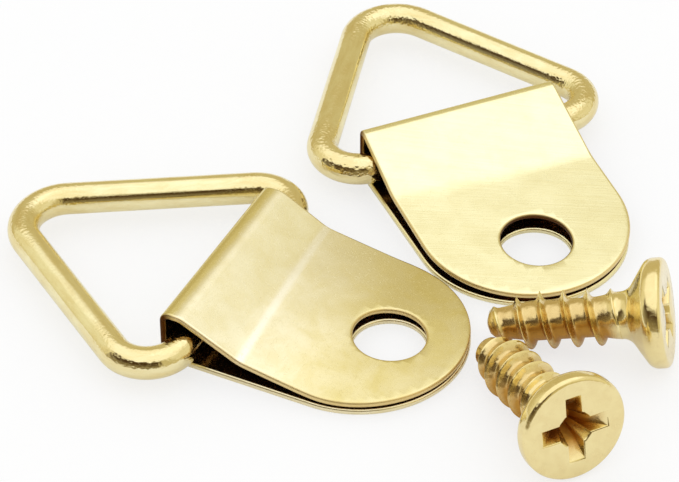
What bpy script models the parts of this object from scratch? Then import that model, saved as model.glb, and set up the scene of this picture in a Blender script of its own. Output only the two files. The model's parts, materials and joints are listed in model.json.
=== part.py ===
"""A pair of picture hangers, each a folded brass strap with a triangular wire ring, and their two screws.

Each hanger's own frame has its origin on the table below the ring's straight side, which is the hinge:
+X runs to the strap's rounded end, Y lies along the hinge and the ring's point is at -X.
The finished set stands on z = 0, centred under its own outline.
"""
import bpy
import bmesh
from math import acos, atan, atan2, cos, pi, radians, sin, tan
from mathutils import Vector

MM = 0.001

# Stock that the pieces are made from.
WIRE_DIAMETER = 2.0 * MM
SHEET_THICKNESS = 0.42 * MM

# Room that the wire has in the strap's loop.
WIRE_GAP_BELOW = 0.25 * MM
WIRE_GAP_ABOVE = 0.61 * MM
WIRE_GAP_IN_FRONT = 0.4 * MM

# Strap, measured from the hinge line along the strap.
STRAP_WIDTH = 13.5 * MM
STRAP_REACH = 14.83 * MM
HOLE_DIAMETER = 4.45 * MM
HOLE_TO_TIP = 4.7 * MM
LOOP_TOP_END = -0.2 * MM
CREASE_FROM_HINGE = 3.6 * MM
CLOSING_FROM_HINGE = 8.2 * MM
LOOP_LOWER_BEND = 0.9 * MM
LOOP_UPPER_BEND = 0.4 * MM
LOOP_TOP_BEND = 1.0 * MM
CREASE_BEND = 5.0 * MM
CLOSING_BEND = 20.0 * MM

# Spring between each strap's two leaves, at the crease, where they close, and at the rounded end.
LEFT_LEAF_GAPS = (1.0 * MM, 0.32 * MM, 0.12 * MM)
RIGHT_LEAF_GAPS = (1.15 * MM, 0.72 * MM, 0.3 * MM)

# Ring, along the middle of its wire.
RING_BASE = 21.8 * MM
RING_HEIGHT = 17.1 * MM
RING_BASE_BEND = 2.3 * MM
RING_POINT_BEND = 2.83 * MM
RING_SEAM = 0.3 * MM

# Screw, from the top of its head along its axis.
SCREW_LENGTH = 10.85 * MM
HEAD_DIAMETER = 6.6 * MM
HEAD_RIM = 1.05 * MM
HEAD_DEPTH = 2.3 * MM
HEAD_EDGE_BEND = 0.3 * MM
HEAD_UNDER_BEND = 0.35 * MM
NECK_BEND = 0.8 * MM
SHANK_DIAMETER = 2.84 * MM
THREAD_DIAMETER = 3.5 * MM
THREAD_START = 3.4 * MM
THREAD_TAPER_START = 8.2 * MM
THREAD_TAPER_END = 10.45 * MM
TAPER_END_DIAMETER = 2.0 * MM
RECESS_SPAN = 4.3 * MM
RECESS_WING = 1.0 * MM
RECESS_DEPTH = 1.6 * MM
RECESS_FLOOR_SPAN = 1.8 * MM
RECESS_FLOOR_WING = 0.6 * MM

# Places on the table. The right hanger and the screws' points lie round the rounded end of the left
# strap, each at its own clearance from that end and on its own bearing from the end's centre.
LEFT_HINGE_PLACE = (-6.11 * MM, -5.77 * MM)
LEFT_HEADING = radians(-25.95)
LEFT_RING_SLIP = -0.35 * MM
LEFT_RING_SKEW = radians(-1.4)
RIGHT_STRAP_CLEARANCE = 0.566 * MM
RIGHT_STRAP_BEARING = radians(43.456)
RIGHT_HEADING = radians(-66.7)
RIGHT_RING_SLIP = 0.12 * MM
RIGHT_RING_SKEW = radians(-1.4)
FRONT_POINT_CLEARANCE = 1.072 * MM
FRONT_POINT_BEARING = radians(-14.885)
FRONT_HEADING = radians(116.0)
FRONT_RECESS_TURN = 0.0
REAR_POINT_CLEARANCE = 1.021 * MM
REAR_POINT_BEARING = radians(0.993)
REAR_HEADING = radians(171.5)
REAR_RECESS_TURN = radians(18.0)

# Overrun of every cutter past what it cuts, and facets of the round forms.
CUT_OVERRUN = 1.0 * MM
WELD_DISTANCE = 0.001 * MM
BEND_FACET = radians(11.25)
HEAD_FACET = radians(22.5)
END_FACET = radians(6.0)
HOLE_SIDES = 40
SCREW_SIDES = 40
WIRE_BEVEL_RESOLUTION = 6

# Finishes of the three brass-plated kinds of piece.
STRAP_COLOUR = (0.86, 0.74, 0.42, 1.0)
STRAP_ROUGHNESS = 0.28
RING_COLOUR = (0.80, 0.64, 0.28, 1.0)
RING_ROUGHNESS = 0.22
SCREW_COLOUR = (0.88, 0.66, 0.24, 1.0)
SCREW_ROUGHNESS = 0.16


def new_collection(name):
    collection = bpy.data.collections.new(name)
    bpy.context.scene.collection.children.link(collection)
    return collection


def brass(name, colour, roughness):
    material = bpy.data.materials.new(name)
    material.use_nodes = True
    shader = material.node_tree.nodes["Principled BSDF"]
    shader.inputs["Base Color"].default_value = colour
    shader.inputs["Metallic"].default_value = 1.0
    shader.inputs["Roughness"].default_value = roughness
    return material


def rounded(corners, bends, facet=BEND_FACET):
    """Return an open outline through corners, with a bend of the given radius at each inner corner."""
    points = [Vector(corners[0])]
    for before, corner, after, radius in zip(corners, corners[1:], corners[2:], bends):
        corner = Vector(corner)
        back = (Vector(before) - corner).normalized()
        ahead = (Vector(after) - corner).normalized()
        half = acos(max(-1.0, min(1.0, back.dot(ahead)))) / 2
        start = corner + back * radius / tan(half)
        centre = corner + (back + ahead).normalized() * radius / sin(half)
        first = start - centre
        turn = pi - 2 * half
        if back.x * ahead.y - back.y * ahead.x > 0:
            turn = -turn
        steps = max(2, round(abs(turn) / facet))
        heading = atan2(first.y, first.x)
        for step in range(steps + 1):
            angle = heading + turn * step / steps
            points.append(centre + radius * Vector((cos(angle), sin(angle))))
    points.append(Vector(corners[-1]))
    return points


def empty(name, collection, parent=None, location=(0, 0, 0), heading=0.0):
    frame = bpy.data.objects.new(name, None)
    collection.objects.link(frame)
    frame.parent = parent
    frame.location = location
    frame.rotation_euler = (0, 0, heading)
    return frame


def mesh_object(name, bm, collection, parent=None, material=None):
    mesh = bpy.data.meshes.new(name)
    bm.to_mesh(mesh)
    bm.free()
    piece = bpy.data.objects.new(name, mesh)
    collection.objects.link(piece)
    piece.parent = parent
    if material:
        mesh.materials.append(material)
    return piece


def as_cutter(cutter):
    cutter.hide_render = True
    cutter.display_type = "WIRE"
    return cutter


def cut(piece, cutter, operation="DIFFERENCE"):
    modifier = piece.modifiers.new(cutter.name, "BOOLEAN")
    modifier.operation = operation
    modifier.solver = "EXACT"
    modifier.object = cutter


def along(heading, length):
    return length * Vector((cos(heading), sin(heading)))


def round_left_end(distance, bearing):
    """Return a place on the table, as seen from the centre of the left strap's rounded end."""
    end_centre = Vector(LEFT_HINGE_PLACE) + along(LEFT_HEADING, STRAP_REACH - STRAP_WIDTH / 2)
    return end_centre + along(bearing, distance)


def sheet_profile(leaf_gaps):
    """Return the middle line of the folded sheet, seen from its side, from one tip to the other."""
    half = SHEET_THICKNESS / 2
    lower = half
    front = -(WIRE_DIAMETER / 2 + WIRE_GAP_IN_FRONT + half)
    top = SHEET_THICKNESS + WIRE_GAP_BELOW + WIRE_DIAMETER + WIRE_GAP_ABOVE + half
    crease, closing, tip = [SHEET_THICKNESS + gap + half for gap in leaf_gaps]
    beyond = STRAP_REACH + CUT_OVERRUN
    fall = (tip - closing) / (STRAP_REACH - CLOSING_FROM_HINGE)
    corners = [
        (beyond, lower),
        (front, lower),
        (front, top),
        (LOOP_TOP_END, top),
        (CREASE_FROM_HINGE, crease),
        (CLOSING_FROM_HINGE, closing),
        (beyond, tip + fall * CUT_OVERRUN),
    ]
    bends = (LOOP_LOWER_BEND, LOOP_UPPER_BEND, LOOP_TOP_BEND, CREASE_BEND, CLOSING_BEND)
    return rounded(corners, bends)


def strap_outline(name, collection, parent):
    """Make the round-ended block that trims the folded sheet to the stamped outline."""
    end_radius = STRAP_WIDTH / 2
    end_centre = STRAP_REACH - end_radius
    front = -(WIRE_DIAMETER + WIRE_GAP_IN_FRONT + SHEET_THICKNESS + CUT_OVERRUN)
    height = 2 * (WIRE_DIAMETER + WIRE_GAP_ABOVE + CUT_OVERRUN)
    steps = round(pi / END_FACET)
    points = [Vector((front, end_radius)), Vector((front, -end_radius))]
    for step in range(steps + 1):
        angle = -pi / 2 + pi * step / steps
        points.append(Vector((end_centre + end_radius * cos(angle), end_radius * sin(angle))))
    curve = bpy.data.curves.new(name, "CURVE")
    curve.dimensions = "2D"
    curve.fill_mode = "BOTH"
    curve.extrude = height
    spline = curve.splines.new("POLY")
    spline.points.add(len(points) - 1)
    for target, point in zip(spline.points, points):
        target.co = (point.x, point.y, 0, 1)
    spline.use_cyclic_u = True
    flat = bpy.data.objects.new(name + "_curve", curve)
    collection.objects.link(flat)
    flat.parent = parent
    return as_cutter(solid_from_curve(flat, name, collection))


def solid_from_curve(curve_object, name, collection):
    """Turn a capped curve into a mesh with its caps welded on, and remove the curve."""
    depsgraph = bpy.context.evaluated_depsgraph_get()
    mesh = bpy.data.meshes.new_from_object(curve_object.evaluated_get(depsgraph))
    bm = bmesh.new()
    bm.from_mesh(mesh)
    bmesh.ops.remove_doubles(bm, verts=bm.verts, dist=WELD_DISTANCE)
    bmesh.ops.recalc_face_normals(bm, faces=bm.faces)
    bm.to_mesh(mesh)
    bm.free()
    mesh.name = name
    solid = bpy.data.objects.new(name, mesh)
    collection.objects.link(solid)
    solid.matrix_world = curve_object.matrix_world
    bpy.data.objects.remove(curve_object)
    return solid


def screw_hole(name, collection, parent):
    bm = bmesh.new()
    radius = HOLE_DIAMETER / 2
    height = 2 * (WIRE_DIAMETER + WIRE_GAP_ABOVE + CUT_OVERRUN)
    bmesh.ops.create_cone(
        bm, cap_ends=True, segments=HOLE_SIDES, radius1=radius, radius2=radius, depth=height)
    drill = mesh_object(name, bm, collection, parent)
    drill.location = (STRAP_REACH - HOLE_TO_TIP, 0, 0)
    return as_cutter(drill)


def make_strap(name, leaf_gaps, parts, cutters, parent, material):
    """Fold one sheet round the wire, trim both leaves to one outline and pierce them together."""
    bm = bmesh.new()
    half_width = STRAP_WIDTH / 2 + CUT_OVERRUN
    line = [bm.verts.new((point.x, -half_width, point.y)) for point in sheet_profile(leaf_gaps)]
    edges = [bm.edges.new(pair) for pair in zip(line, line[1:])]
    swept = bmesh.ops.extrude_edge_only(bm, edges=edges)["geom"]
    moved = [item for item in swept if isinstance(item, bmesh.types.BMVert)]
    bmesh.ops.translate(bm, verts=moved, vec=(0, 2 * half_width, 0))
    strap = mesh_object(name, bm, parts, parent, material)
    sheet = strap.modifiers.new("sheet", "SOLIDIFY")
    sheet.thickness = SHEET_THICKNESS
    sheet.offset = 0
    sheet.use_even_offset = True
    cut(strap, strap_outline(name + "_outline", cutters, parent), "INTERSECT")
    cut(strap, screw_hole(name + "_drill", cutters, parent))
    return strap


def make_ring(name, parts, parent, material):
    """Bend one wire into a triangle whose ends meet in the middle of the side that is the hinge."""
    half_base = RING_BASE / 2
    half_seam = RING_SEAM / 2
    corners = [
        (0, half_seam),
        (0, half_base),
        (-RING_HEIGHT, 0),
        (0, -half_base),
        (0, -half_seam),
    ]
    points = rounded(corners, (RING_BASE_BEND, RING_POINT_BEND, RING_BASE_BEND))
    curve = bpy.data.curves.new(name, "CURVE")
    curve.dimensions = "3D"
    curve.bevel_depth = WIRE_DIAMETER / 2
    curve.bevel_resolution = WIRE_BEVEL_RESOLUTION
    curve.use_fill_caps = True
    curve.materials.append(material)
    spline = curve.splines.new("POLY")
    spline.points.add(len(points) - 1)
    for target, point in zip(spline.points, points):
        target.co = (point.x, point.y, 0, 1)
    spline.use_smooth = True
    ring = bpy.data.objects.new(name, curve)
    parts.objects.link(ring)
    ring.parent = parent
    return ring


def make_hanger(side, place, heading, leaf_gaps, slip, skew, parts, cutters, origin):
    """Fold a strap round a ring's straight side, which turns in the loop as the hinge's pin."""
    hanger = empty(side + "_hanger", parts, origin, (*place, 0), heading)
    strap_brass = brass(side + "_strap_brass", STRAP_COLOUR, STRAP_ROUGHNESS)
    make_strap(side + "_strap", leaf_gaps, parts, cutters, hanger, strap_brass)
    hinge_height = SHEET_THICKNESS + WIRE_GAP_BELOW + WIRE_DIAMETER / 2
    hinge = empty(side + "_ring_hinge", parts, hanger, (0, slip, hinge_height), skew)
    ring_brass = brass(side + "_ring_brass", RING_COLOUR, RING_ROUGHNESS)
    make_ring(side + "_ring", parts, hinge, ring_brass)


def screw_profile():
    """Return the screw's outline from the top of the head down to the point, as radius and height."""
    head = HEAD_DIAMETER / 2
    shank = SHANK_DIAMETER / 2
    thread = THREAD_DIAMETER / 2
    corners = [
        (0, 0),
        (head, 0),
        (head, -HEAD_RIM),
        (shank, -HEAD_DEPTH),
        (shank, -THREAD_START),
    ]
    outline = rounded(corners, (HEAD_EDGE_BEND, HEAD_UNDER_BEND, NECK_BEND), HEAD_FACET)
    outline += [
        Vector((thread, -(THREAD_START + thread - shank))),
        Vector((thread, -THREAD_TAPER_START)),
        Vector((TAPER_END_DIAMETER / 2, -THREAD_TAPER_END)),
        Vector((0, -SCREW_LENGTH)),
    ]
    return outline


def resting_dip():
    """Return the point of the head's outline that meets the table, and how far the point dips below level.

    A screw that lies down rests on the head's rim and on the last full turn of its thread.
    """
    last_turn = Vector((THREAD_DIAMETER / 2, -THREAD_TAPER_START))
    head = [point for point in screw_profile() if point.y > -HEAD_DEPTH]
    slopes = [(point.x - last_turn.x) / (point.y - last_turn.y) for point in head]
    steepest = max(slopes)
    return head[slopes.index(steepest)], atan(steepest)


def recess_wing(name, collection, parent, turn):
    """Make one bar of the cross recess, which narrows from its full size at the head's face to its floor."""
    widening = 1 + CUT_OVERRUN / RECESS_DEPTH
    top_span = RECESS_FLOOR_SPAN + (RECESS_SPAN - RECESS_FLOOR_SPAN) * widening
    top_wing = RECESS_FLOOR_WING + (RECESS_WING - RECESS_FLOOR_WING) * widening
    bm = bmesh.new()
    bmesh.ops.create_cube(bm, size=1.0)
    for corner in bm.verts:
        floor = corner.co.z < 0
        corner.co.x *= RECESS_FLOOR_SPAN if floor else top_span
        corner.co.y *= RECESS_FLOOR_WING if floor else top_wing
        corner.co.z = -RECESS_DEPTH if floor else CUT_OVERRUN
    bar = mesh_object(name, bm, collection, parent)
    bar.rotation_euler = (0, 0, turn)
    return as_cutter(bar)


def make_screw(name, point_place, heading, recess_turn, parts, cutters, origin, material):
    """Turn a countersunk screw and lay it down on its head's rim and the last of its thread.

    The screw's point lies over point_place, and the screw points along heading.
    """
    bm = bmesh.new()
    line = [bm.verts.new((point.x, 0, point.y)) for point in screw_profile()]
    for pair in zip(line, line[1:]):
        bm.edges.new(pair)
    screw = mesh_object(name, bm, parts, origin, material)
    turned = screw.modifiers.new("turned", "SCREW")
    turned.axis = "Z"
    turned.angle = 2 * pi
    turned.steps = SCREW_SIDES
    turned.render_steps = SCREW_SIDES
    turned.use_merge_vertices = True
    turned.merge_threshold = WELD_DISTANCE
    turned.use_normal_calculate = True
    for number, wing_turn in enumerate((0, pi / 2), start=1):
        cut(screw, recess_wing(f"{name}_recess_{number}", cutters, screw, recess_turn + wing_turn))

    touch, dip = resting_dip()
    head_place = point_place - along(heading, SCREW_LENGTH * cos(dip))
    head_height = touch.x * cos(dip) - touch.y * sin(dip)
    axis = Vector((*along(heading, cos(dip)), -sin(dip)))
    screw.location = (*head_place, head_height)
    screw.rotation_euler = axis.to_track_quat("-Z", "Y").to_euler()
    return screw


def stand_on_centre(parts, origin):
    """Move the whole set so that the origin lies on the table under the middle of its outline."""
    bpy.context.view_layer.update()
    depsgraph = bpy.context.evaluated_depsgraph_get()
    points = []
    for piece in parts.objects:
        if piece.type == "EMPTY":
            continue
        solid = piece.evaluated_get(depsgraph)
        mesh = solid.to_mesh()
        points += [solid.matrix_world @ vertex.co for vertex in mesh.vertices]
        solid.to_mesh_clear()
    low = Vector([min(point[axis] for point in points) for axis in range(3)])
    high = Vector([max(point[axis] for point in points) for axis in range(3)])
    origin.location = (-(low.x + high.x) / 2, -(low.y + high.y) / 2, -low.z)
    bpy.context.view_layer.update()
    print("set, mm:", [round(size / MM, 3) for size in high - low])


def build():
    for item in list(bpy.data.objects):
        bpy.data.objects.remove(item)
    parts = new_collection("d_ring_picture_hangers")
    cutters = new_collection("cutters")
    origin = empty("set_origin", parts)
    make_hanger("left", LEFT_HINGE_PLACE, LEFT_HEADING, LEFT_LEAF_GAPS, LEFT_RING_SLIP, LEFT_RING_SKEW,
                parts, cutters, origin)
    right_end = round_left_end(STRAP_WIDTH + RIGHT_STRAP_CLEARANCE, RIGHT_STRAP_BEARING)
    right_hinge = right_end - along(RIGHT_HEADING, STRAP_REACH - STRAP_WIDTH / 2)
    make_hanger("right", right_hinge, RIGHT_HEADING, RIGHT_LEAF_GAPS, RIGHT_RING_SLIP, RIGHT_RING_SKEW,
                parts, cutters, origin)
    screw_brass = brass("screw_brass", SCREW_COLOUR, SCREW_ROUGHNESS)
    front_point = round_left_end(STRAP_WIDTH / 2 + FRONT_POINT_CLEARANCE, FRONT_POINT_BEARING)
    make_screw("front_screw", front_point, FRONT_HEADING, FRONT_RECESS_TURN,
               parts, cutters, origin, screw_brass)
    rear_point = round_left_end(STRAP_WIDTH / 2 + REAR_POINT_CLEARANCE, REAR_POINT_BEARING)
    make_screw("rear_screw", rear_point, REAR_HEADING, REAR_RECESS_TURN,
               parts, cutters, origin, screw_brass)
    stand_on_centre(parts, origin)


build()
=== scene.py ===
import json
from math import acos, atan2, cos, pi, radians, sin, tan

import bpy
from mathutils import Matrix, Vector


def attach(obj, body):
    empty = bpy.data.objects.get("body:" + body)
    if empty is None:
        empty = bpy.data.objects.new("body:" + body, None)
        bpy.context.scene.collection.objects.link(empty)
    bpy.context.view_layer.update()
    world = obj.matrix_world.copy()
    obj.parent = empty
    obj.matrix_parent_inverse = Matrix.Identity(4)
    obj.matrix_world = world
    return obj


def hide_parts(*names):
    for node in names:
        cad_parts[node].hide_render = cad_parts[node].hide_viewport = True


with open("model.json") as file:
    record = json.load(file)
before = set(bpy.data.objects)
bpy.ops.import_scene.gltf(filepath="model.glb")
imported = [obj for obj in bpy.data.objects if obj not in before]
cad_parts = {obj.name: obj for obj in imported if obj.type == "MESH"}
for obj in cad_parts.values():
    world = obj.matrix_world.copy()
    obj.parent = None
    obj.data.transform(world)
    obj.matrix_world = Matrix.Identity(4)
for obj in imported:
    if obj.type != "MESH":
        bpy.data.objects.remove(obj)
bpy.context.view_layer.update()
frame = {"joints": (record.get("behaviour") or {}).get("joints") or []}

MM = 0.001


# The two rings. Each is one length of brass-plated 2 mm wire, cut off, bent at three corners into a
# triangle and left open at a butt joint, which lies inside the strap's loop. The straight side with
# the joint is the hinge pin. The bending tool has left its corners dented all over.
WIRE_RADIUS = 1.0 * MM
RING_BASE = 21.8 * MM
RING_HEIGHT = 17.1 * MM
BASE_BEND = 2.3 * MM
POINT_BEND = 2.83 * MM
BUTT_GAP = 0.3 * MM
WIRE_END_ROUND = 0.2 * MM
WIRE_SIDES = 48
WIRE_CUTS = 21
PATH_STEP = 0.06 * MM
LONGEST_FACET = 0.35 * MM
DENTS_FADE = 2.2 * MM
RING_COLOUR = (0.9, 0.82, 0.5, 1.0)
RING_DEEP_COLOUR = (0.74, 0.57, 0.22, 1.0)
RING_ROUGHNESS = 0.09
DRAWN_LINE = (2.6 * MM, 0.11 * MM, 0.11 * MM)
DENT_SIZE = 0.2 * MM
LEG_DENT_SHARE = {"left": 0.12, "right": 0.25}
BEND_DENT_SHARE = {"left": 0.65, "right": 1.15}
DRAWN_LINE_DEPTH = 0.16
RING_SCRATCH_DEPTH = -0.02
RING_RELIEF = 0.035 * MM
RING_CLOUD = 0.5 * MM
RING_CLOUD_SHARE = 0.38
RING_CLOUD_STRETCH = (0.3, 1.0, 1.0)
RING_BEND_TINT = 0.2
CLOUD_EDGE = (0.32, 0.7)
CLOUD_DULLNESS = 0.05
SCRATCH = (1.6 * MM, 0.035 * MM, 0.3 * MM)
SCRATCH_TURNS = (radians(24), radians(-57))
SCRATCH_EDGE = (0.66, 0.74)
SCRATCH_DULLNESS = 0.12


def select_only(piece):
    bpy.ops.object.select_all(action="DESELECT")
    piece.select_set(True)
    bpy.context.view_layer.objects.active = piece


def apply_modifiers(piece):
    select_only(piece)
    for modifier in list(piece.modifiers):
        bpy.ops.object.modifier_apply(modifier=modifier.name)


def settle(piece, place):
    """Put a piece where it lies and leave its object at the origin."""
    piece.matrix_world = place
    select_only(piece)
    bpy.ops.object.transform_apply(location=True, rotation=True, scale=True)


def own_copy(piece, name):
    """Copy a piece with a mesh of its own."""
    twin = piece.copy()
    twin.data = piece.data.copy()
    twin.name = name
    bpy.context.scene.collection.objects.link(twin)
    return twin


def ease(low, high, value):
    """Return 0 up to low and 1 from high on, with a soft change between."""
    share = max(0.0, min(1.0, (value - low) / (high - low)))
    return share * share * (3 - 2 * share)


def half_angle(before, corner, after):
    """Return half of the angle that a corner encloses, and its two directions."""
    back = (Vector(before) - Vector(corner)).normalized()
    ahead = (Vector(after) - Vector(corner)).normalized()
    return acos(max(-1.0, min(1.0, back.dot(ahead)))) / 2, back, ahead


def rounded(corners, bends, facet=radians(3)):
    """Return an open line through corners, with a bend of the given radius at each inner corner."""
    points = [Vector(corners[0])]
    for before, corner, after, radius in zip(corners, corners[1:], corners[2:], bends):
        half, back, ahead = half_angle(before, corner, after)
        centre = Vector(corner) + (back + ahead).normalized() * radius / sin(half)
        first = Vector(corner) + back * radius / tan(half) - centre
        turn = pi - 2 * half
        if back.x * ahead.y - back.y * ahead.x > 0:
            turn = -turn
        steps = max(2, round(abs(turn) / facet), round(radius * abs(turn) / LONGEST_FACET))
        heading = atan2(first.y, first.x)
        for step in range(steps + 1):
            angle = heading + turn * step / steps
            points.append(centre + radius * Vector((cos(angle), sin(angle))))
    points.append(Vector(corners[-1]))
    return points


def bend_spans(corners, bends):
    """Return where each bend starts and ends, measured along the rounded line."""
    spans, reached, used = [], 0.0, 0.0
    for before, corner, after, radius in zip(corners, corners[1:], corners[2:], bends):
        half = half_angle(before, corner, after)[0]
        cut_off = radius / tan(half)
        start = reached + (Vector(corner) - Vector(before)).length - used - cut_off
        reached = start + radius * (pi - 2 * half)
        used = cut_off
        spans.append((start, reached))
    return spans


def line_length(line):
    return sum((after - before).length for before, after in zip(line, line[1:]))


def bending_path(name, line):
    """Make the guide that a straight piece is bent along, with points at even steps along the line."""
    lengths = [(after - before).length for before, after in zip(line, line[1:])]
    total = sum(lengths)
    count = round(total / PATH_STEP)
    points, stretch, passed = [], 0, 0.0
    for step in range(count + 1):
        reached = total * step / count
        while stretch < len(lengths) - 1 and passed + lengths[stretch] < reached:
            passed += lengths[stretch]
            stretch += 1
        points.append(line[stretch].lerp(line[stretch + 1], (reached - passed) / lengths[stretch]))
    curve = bpy.data.curves.new(name, "CURVE")
    curve.dimensions = "2D"
    spline = curve.splines.new("POLY")
    spline.points.add(len(points) - 1)
    for target, point in zip(spline.points, points):
        target.co = (point.x, point.y, 0, 1)
    guide = bpy.data.objects.new(name, curve)
    bpy.context.scene.collection.objects.link(guide)
    return guide


def bend_along(piece, line):
    guide = bending_path(piece.name + "_path", line)
    bend = piece.modifiers.new("bend", "CURVE")
    bend.object = guide
    bend.deform_axis = "POS_X"
    apply_modifiers(piece)
    bpy.data.objects.remove(guide)


def keep_blank(piece):
    """Keep where each point lay before the piece was bent, so that its grain follows the metal."""
    blank = piece.data.attributes.new("blank", "FLOAT_VECTOR", "POINT")
    for kept, vertex in zip(blank.data, piece.data.vertices):
        kept.vector = vertex.co


def keep_share(piece, name, share_at):
    """Keep a share from 0 to 1 at each point, which the materials read by its name."""
    shares = piece.data.attributes.new(name, "FLOAT", "POINT")
    for kept, vertex in zip(shares.data, piece.data.vertices):
        kept.value = share_at(vertex.co)


def select_edges(piece, wanted):
    """Leave selected only the edges that the wanted test keeps, and stay in edit mode."""
    bpy.ops.object.mode_set(mode="EDIT")
    bpy.ops.mesh.select_mode(type="EDGE")
    bpy.ops.mesh.select_all(action="DESELECT")
    bpy.ops.object.mode_set(mode="OBJECT")
    points = piece.data.vertices
    for edge in piece.data.edges:
        edge.select = wanted(*[points[index].co for index in edge.vertices])
    bpy.ops.object.mode_set(mode="EDIT")


def make_ring():
    """Cut the wire to length, round its ends and bend it, with the pin's middle at the origin."""
    half_base = RING_BASE / 2
    half_gap = BUTT_GAP / 2
    corners = [(0, half_gap), (0, half_base), (-RING_HEIGHT, 0), (0, -half_base), (0, -half_gap)]
    bends = (BASE_BEND, POINT_BEND, BASE_BEND)
    line = rounded(corners, bends)
    length = line_length(line)
    bpy.ops.object.select_all(action="DESELECT")
    bpy.ops.mesh.primitive_cylinder_add(
        vertices=WIRE_SIDES, radius=WIRE_RADIUS, depth=length, location=(length / 2, 0, 0),
        rotation=(0, pi / 2, 0))
    ring = bpy.context.object
    ring.name = "ring_wire"
    settle(ring, ring.matrix_world.copy())
    select_edges(ring, lambda first, second: abs(second.x - first.x) < WIRE_RADIUS)
    bpy.ops.mesh.bevel(offset=WIRE_END_ROUND, segments=3, profile=0.5, affect="EDGES")
    for _ in range(2):
        select_edges(ring, lambda first, second: abs(second.x - first.x) > WIRE_RADIUS)
        bpy.ops.mesh.subdivide(number_cuts=WIRE_CUTS)
    bpy.ops.object.mode_set(mode="OBJECT")
    keep_blank(ring)
    spans = bend_spans(corners, bends)
    keep_share(ring, "bent", lambda point: max(
        1 - ease(0, DENTS_FADE, max(start - point.x, point.x - end)) for start, end in spans))
    bend_along(ring, line)
    bpy.ops.object.shade_smooth_by_angle(angle=radians(40))
    return ring


def hinge_place(joint_name):
    """Return the frame of a ring's hinge: Y along the pin, X away from the ring's point."""
    joint = next(joint for joint in frame["joints"] if joint["name"] == joint_name)
    pin = Vector(joint["axis"]).normalized()
    across = pin.cross(Vector((0, 0, 1)))
    turn = Matrix((across, pin, (0, 0, 1))).transposed().to_4x4()
    return Matrix.Translation(joint["pos_m"]) @ turn


def feed(tree, socket, value):
    """Link a socket to another, or set it to a plain value."""
    if isinstance(value, bpy.types.NodeSocket):
        tree.links.new(value, socket)
    else:
        socket.default_value = value


def add_node(tree, kind, settings=(), **inputs):
    """Add a shader node with its settings, and feed its inputs, by name or as i0, i1 and so on."""
    node = tree.nodes.new(kind)
    for key, value in dict(settings).items():
        setattr(node, key, value)
    for key, value in inputs.items():
        number = key[1:]
        socket = node.inputs[int(number)] if key[0] == "i" and number.isdigit() else node.inputs[key]
        feed(tree, socket, value)
    return node


def sum_of(tree, first, second):
    return add_node(tree, "ShaderNodeMath", {"operation": "ADD"}, i0=first, i1=second).outputs[0]


def product(tree, first, second):
    return add_node(tree, "ShaderNodeMath", {"operation": "MULTIPLY"}, i0=first, i1=second).outputs[0]


def between(tree, share, low, high):
    """Blend two numbers by a share."""
    return add_node(tree, "ShaderNodeMapRange", i0=share, i3=low, i4=high).outputs[0]


def mixed(tree, share, first, second):
    """Blend two colours by a share."""
    return add_node(tree, "ShaderNodeMix", {"data_type": "RGBA"}, i0=share, i6=first, i7=second).outputs[2]


def new_group(name, inputs, outputs):
    """Start a node group with named inputs and outputs, and return it with both sets of sockets."""
    tree = bpy.data.node_groups.new(name, "ShaderNodeTree")
    for title, kind in inputs:
        tree.interface.new_socket(title, in_out="INPUT", socket_type=kind)
    for title, kind in outputs:
        tree.interface.new_socket(title, in_out="OUTPUT", socket_type=kind)
    given = tree.nodes.new("NodeGroupInput").outputs
    result = tree.nodes.new("NodeGroupOutput").inputs
    return tree, given, result


def place_group(tree, group, **inputs):
    node = add_node(tree, "ShaderNodeGroup", {"node_tree": group})
    for title, value in inputs.items():
        feed(tree, node.inputs[title.replace("_", " ")], value)
    return node.outputs


def make_tool_lines():
    """Fine parallel lines that a die or a brush leaves, as a height.

    Line is one line's length, width and depth.
    """
    tree, given, result = new_group(
        "tool_lines", [("Place", "NodeSocketVector"), ("Line", "NodeSocketVector")],
        [("Height", "NodeSocketFloat")])
    stretched = add_node(tree, "ShaderNodeVectorMath", {"operation": "DIVIDE"},
                         i0=given["Place"], i1=given["Line"])
    lines = add_node(tree, "ShaderNodeTexNoise", Vector=stretched.outputs[0], Scale=1.0, Detail=3.0,
                     Roughness=0.6)
    tree.links.new(lines.outputs[0], result["Height"])
    return tree


def make_dents():
    """Soft dents of about one size, with smaller ones on them, as a height."""
    tree, given, result = new_group(
        "dents", [("Place", "NodeSocketVector"), ("Size", "NodeSocketFloat")],
        [("Height", "NodeSocketFloat")])
    scale = add_node(tree, "ShaderNodeMath", {"operation": "DIVIDE"}, i0=1.0, i1=given["Size"])
    broad = add_node(tree, "ShaderNodeTexNoise", Vector=given["Place"], Scale=scale.outputs[0], Detail=1.5,
                     Roughness=0.5, Distortion=0.3)
    cells = add_node(tree, "ShaderNodeTexVoronoi", {"feature": "SMOOTH_F1"}, Vector=given["Place"],
                     Scale=scale.outputs[0], Smoothness=0.8)
    height = between(tree, 0.5, broad.outputs[0], cells.outputs["Distance"])
    tree.links.new(height, result["Height"])
    return tree


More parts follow.
